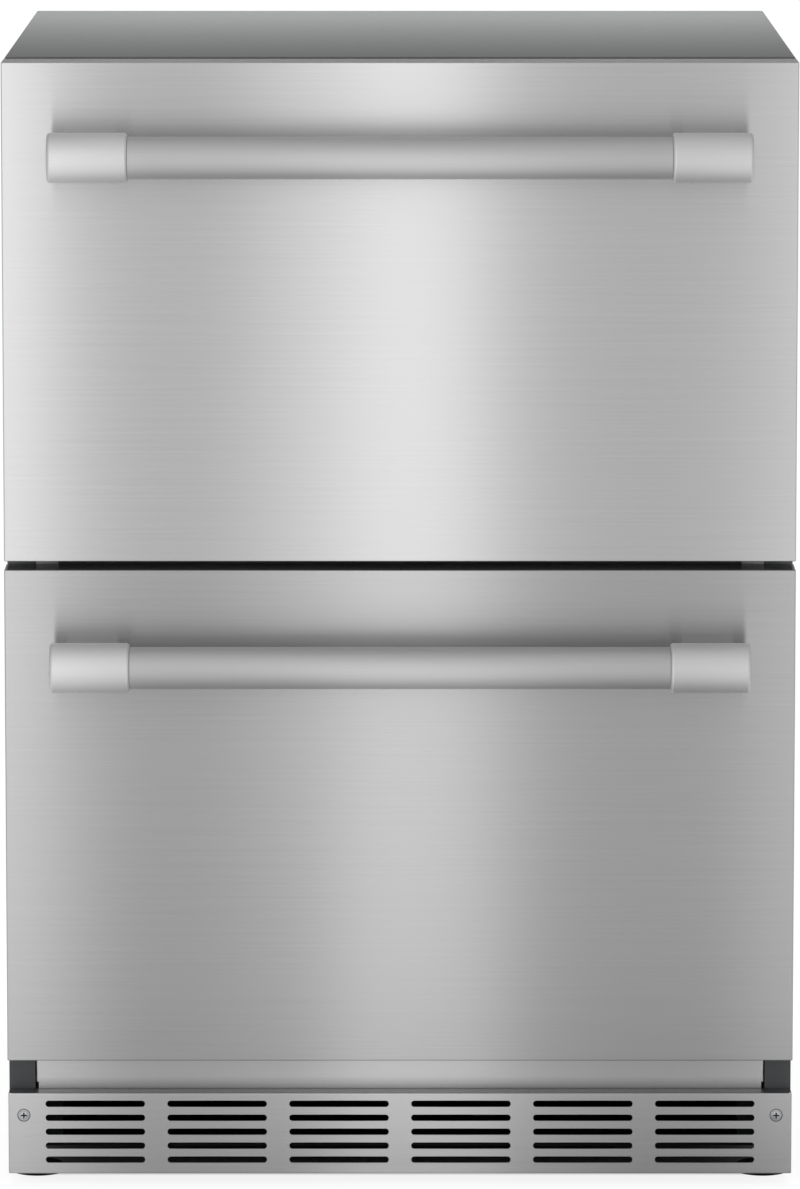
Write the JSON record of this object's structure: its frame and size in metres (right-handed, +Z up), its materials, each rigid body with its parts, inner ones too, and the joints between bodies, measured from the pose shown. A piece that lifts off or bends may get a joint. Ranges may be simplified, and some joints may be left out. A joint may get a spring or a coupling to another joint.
{
  "type": "undercounter drawer refrigerator",
  "caption": "Stainless undercounter refrigerator with stacked pull-out drawers, bar handles, foamed steel cabinet, vented toe grille and levelling legs.",
  "frame": {"origin": "on the floor, midway between the sides and midway between the front of the handles and the back of the cabinet", "axes": "+Z up, +X to the right of someone facing the drawers, and the drawers open towards -Y"},
  "size_m": [0.606, 0.664, 0.871],
  "materials": {
    "brushed_stainless": "satin",
    "satin_stainless_handle": "satin",
    "coated_steel": "satin",
    "zinc_steel": "satin",
    "dark_coated_metal": "matte",
    "dark_plastic": "satin",
    "foam": "matte",
    "white_liner": "satin",
    "clear_bin": "gloss",
    "gasket_rubber": "matte",
    "black_plastic": "satin",
    "black_steel": "satin",
    "copper_tube": "satin",
    "coil_aluminium": "satin",
    "lamp_lens": "satin"
  },
  "bodies": {
    "cabinet": {"outer_shell": "coated_steel", "back_panel": "zinc_steel", "machine_cover": "zinc_steel", "base_pan": "dark_coated_metal", "step_panel": "dark_coated_metal", "cabinet_foam": "foam", "cabinet_liner": "white_liner", "mullion": "coated_steel", "corner_post_left": "dark_plastic", "corner_post_right": "dark_plastic", "rail_trim": "brushed_stainless", "toe_grille": "brushed_stainless", "grille_screw_left": "satin_stainless_handle", "grille_screw_right": "satin_stainless_handle", "upper_slide_fixed_left": "zinc_steel", "upper_slide_fixed_right": "zinc_steel", "lower_slide_fixed_left": "zinc_steel", "lower_slide_fixed_right": "zinc_steel", "compressor": "black_steel", "condenser_coil": "copper_tube", "condenser_fan_shroud": "dark_coated_metal", "condenser_fan_motor": "dark_coated_metal", "drain_tray": "black_plastic", "evaporator_coil": "coil_aluminium", "evaporator_cover": "white_liner", "evaporator_fan_motor": "white_liner", "control_panel": "black_plastic", "lamp_strip": "lamp_lens", "power_inlet": "black_plastic", "liquid_line": "copper_tube"},
    "upper_drawer": {"upper_front_skin": "brushed_stainless", "upper_front_core": "foam", "upper_front_liner": "white_liner", "upper_gasket": "gasket_rubber", "upper_handle_bar": "satin_stainless_handle", "upper_handle_cap_left": "satin_stainless_handle", "upper_handle_cap_right": "satin_stainless_handle", "upper_bin": "clear_bin", "upper_slide_inner_left": "zinc_steel", "upper_slide_inner_right": "zinc_steel"},
    "upper_slides": {"upper_slide_middle_left": "zinc_steel", "upper_slide_middle_right": "zinc_steel"},
    "lower_drawer": {"lower_front_skin": "brushed_stainless", "lower_front_core": "foam", "lower_front_liner": "white_liner", "lower_gasket": "gasket_rubber", "lower_handle_bar": "satin_stainless_handle", "lower_handle_cap_left": "satin_stainless_handle", "lower_handle_cap_right": "satin_stainless_handle", "lower_bin": "clear_bin", "lower_slide_inner_left": "zinc_steel", "lower_slide_inner_right": "zinc_steel"},
    "lower_slides": {"lower_slide_middle_left": "zinc_steel", "lower_slide_middle_right": "zinc_steel"},
    "leg_front_left": {"leg_front_left": "dark_coated_metal"},
    "leg_front_right": {"leg_front_right": "dark_coated_metal"},
    "leg_rear_left": {"leg_rear_left": "dark_coated_metal"},
    "leg_rear_right": {"leg_rear_right": "dark_coated_metal"},
    "condenser_fan": {"condenser_fan_wheel": "black_plastic"},
    "evaporator_fan": {"evaporator_fan_wheel": "white_liner"}
  },
  "joints": [
    {"name": "upper_drawer_slide", "type": "slide", "parent": "cabinet", "child": "upper_drawer", "axis": [0, -1, 0], "range_m": [0, 0.4]},
    {"name": "upper_slides_extend", "type": "slide", "parent": "cabinet", "child": "upper_slides", "axis": [0, -1, 0], "range_m": [0, 0.2]},
    {"name": "lower_drawer_slide", "type": "slide", "parent": "cabinet", "child": "lower_drawer", "axis": [0, -1, 0], "range_m": [0, 0.4]},
    {"name": "lower_slides_extend", "type": "slide", "parent": "cabinet", "child": "lower_slides", "axis": [0, -1, 0], "range_m": [0, 0.2]},
    {"name": "leg_front_left_height", "type": "slide", "parent": "cabinet", "child": "leg_front_left", "axis": [0, 0, -1], "range_m": [0, 0.025]},
    {"name": "leg_front_right_height", "type": "slide", "parent": "cabinet", "child": "leg_front_right", "axis": [0, 0, -1], "range_m": [0, 0.025]},
    {"name": "leg_rear_left_height", "type": "slide", "parent": "cabinet", "child": "leg_rear_left", "axis": [0, 0, -1], "range_m": [0, 0.025]},
    {"name": "leg_rear_right_height", "type": "slide", "parent": "cabinet", "child": "leg_rear_right", "axis": [0, 0, -1], "range_m": [0, 0.025]},
    {"name": "condenser_fan_spin", "type": "hinge", "parent": "cabinet", "child": "condenser_fan", "pos_m": [-0.165, 0.19, 0.1088], "axis": [0, 1, 0], "continuous": true},
    {"name": "evaporator_fan_spin", "type": "hinge", "parent": "cabinet", "child": "evaporator_fan", "pos_m": [0, 0.24, 0.7299], "axis": [0, 1, 0], "continuous": true}
  ],
  "couplings": [
    {"joint": "upper_slides_extend", "follows": "upper_drawer_slide", "ratio": 0.5},
    {"joint": "lower_slides_extend", "follows": "lower_drawer_slide", "ratio": 0.5}
  ]
}
